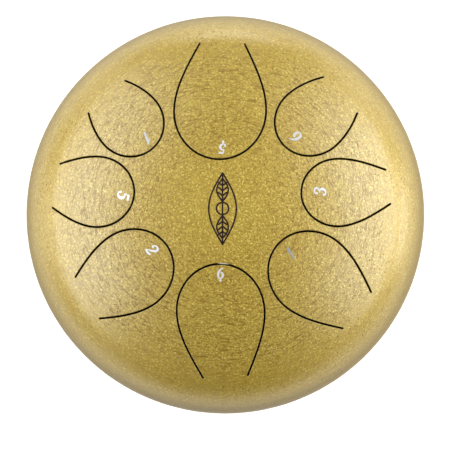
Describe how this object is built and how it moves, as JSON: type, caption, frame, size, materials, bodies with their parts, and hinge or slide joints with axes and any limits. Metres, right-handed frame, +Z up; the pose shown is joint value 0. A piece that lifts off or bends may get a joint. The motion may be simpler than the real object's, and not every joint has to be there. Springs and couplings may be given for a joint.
{
  "type": "steel tongue drum",
  "caption": "Round hollow steel drum with tongues cut in its domed top that ring when struck, foil numerals, a sound hole below and rubber feet.",
  "frame": {"origin": "on the floor under the drum's middle, at the bottom of the feet", "axes": "+Z up along the drum's axis, +Y towards the longest tongue (low 5), +X towards tongue 3"},
  "size_m": [0.2546, 0.2546, 0.1276],
  "materials": {
    "shell_paint": "gold metallic paint with a leather-like crackle grain, satin",
    "numeral_foil": "thin bright nickel transfer foil",
    "badge_foil": "thin black transfer foil, glossy with a faint violet sheen",
    "foot_rubber": "matt moulded rubber",
    "zinc_hardware": "bright zinc plate"
  },
  "bodies": {
    "drum_body": {"top_shell": "shell_paint", "bottom_shell": "shell_paint", "seam_weld_bead": "shell_paint", "centre_badge": "badge_foil", "rubber_foot_1": "foot_rubber", "cup_washer_1": "zinc_hardware", "foot_screw_1": "zinc_hardware", "flat_washer_1": "zinc_hardware", "lock_nut_1": "zinc_hardware", "rubber_foot_2": "foot_rubber", "cup_washer_2": "zinc_hardware", "foot_screw_2": "zinc_hardware", "flat_washer_2": "zinc_hardware", "lock_nut_2": "zinc_hardware", "rubber_foot_3": "foot_rubber", "cup_washer_3": "zinc_hardware", "foot_screw_3": "zinc_hardware", "flat_washer_3": "zinc_hardware", "lock_nut_3": "zinc_hardware", "rubber_foot_4": "foot_rubber", "cup_washer_4": "zinc_hardware", "foot_screw_4": "zinc_hardware", "flat_washer_4": "zinc_hardware", "lock_nut_4": "zinc_hardware"},
    "tongue_low_5_body": {"tongue_low_5": "shell_paint", "numeral_low_5": "numeral_foil"},
    "tongue_low_6_body": {"tongue_low_6": "shell_paint", "numeral_low_6": "numeral_foil"},
    "tongue_1_body": {"tongue_1": "shell_paint", "numeral_1": "numeral_foil"},
    "tongue_2_body": {"tongue_2": "shell_paint", "numeral_2": "numeral_foil"},
    "tongue_3_body": {"tongue_3": "shell_paint", "numeral_3": "numeral_foil"},
    "tongue_5_body": {"tongue_5": "shell_paint", "numeral_5": "numeral_foil"},
    "tongue_6_body": {"tongue_6": "shell_paint", "numeral_6": "numeral_foil"},
    "tongue_high_1_body": {"tongue_high_1": "shell_paint", "numeral_high_1": "numeral_foil"}
  },
  "joints": [
    {"name": "tongue_low_5_flex", "type": "hinge", "parent": "drum_body", "child": "tongue_low_5_body", "pos_m": [-0.00081, 0.10498, 0.10413], "axis": [0.9997, -0.0227, 0], "range_deg": [-0.5, 1], "stiffness_Nm_per_rad": 97.1},
    {"name": "tongue_low_6_flex", "type": "hinge", "parent": "drum_body", "child": "tongue_low_6_body", "pos_m": [0.00121, -0.10355, 0.10476], "axis": [-0.9978, -0.0663, 0], "range_deg": [-0.5, 1], "stiffness_Nm_per_rad": 100},
    {"name": "tongue_1_flex", "type": "hinge", "parent": "drum_body", "child": "tongue_1_body", "pos_m": [0.08306, -0.06223, 0.10466], "axis": [-0.6157, -0.788, 0], "range_deg": [-0.5, 1], "stiffness_Nm_per_rad": 107},
    {"name": "tongue_2_flex", "type": "hinge", "parent": "drum_body", "child": "tongue_2_body", "pos_m": [-0.08468, -0.05435, 0.10601], "axis": [-0.5075, 0.8616, 0], "range_deg": [-0.5, 1], "stiffness_Nm_per_rad": 114.2},
    {"name": "tongue_3_flex", "type": "hinge", "parent": "drum_body", "child": "tongue_3_body", "pos_m": [0.10261, 0.01469, 0.10472], "axis": [0.134, -0.991, 0], "range_deg": [-0.5, 1], "stiffness_Nm_per_rad": 98.6},
    {"name": "tongue_5_flex", "type": "hinge", "parent": "drum_body", "child": "tongue_5_body", "pos_m": [-0.10486, 0.01588, 0.10366], "axis": [0.1702, 0.9854, 0], "range_deg": [-0.5, 1], "stiffness_Nm_per_rad": 120.5},
    {"name": "tongue_6_flex", "type": "hinge", "parent": "drum_body", "child": "tongue_6_body", "pos_m": [0.07301, 0.07226, 0.10512], "axis": [0.6769, -0.7361, 0], "range_deg": [-0.5, 1], "stiffness_Nm_per_rad": 131.6},
    {"name": "tongue_high_1_flex", "type": "hinge", "parent": "drum_body", "child": "tongue_high_1_body", "pos_m": [-0.07313, 0.07153, 0.1053], "axis": [0.7513, 0.66, 0], "range_deg": [-0.5, 1], "stiffness_Nm_per_rad": 137.2}
  ]
}
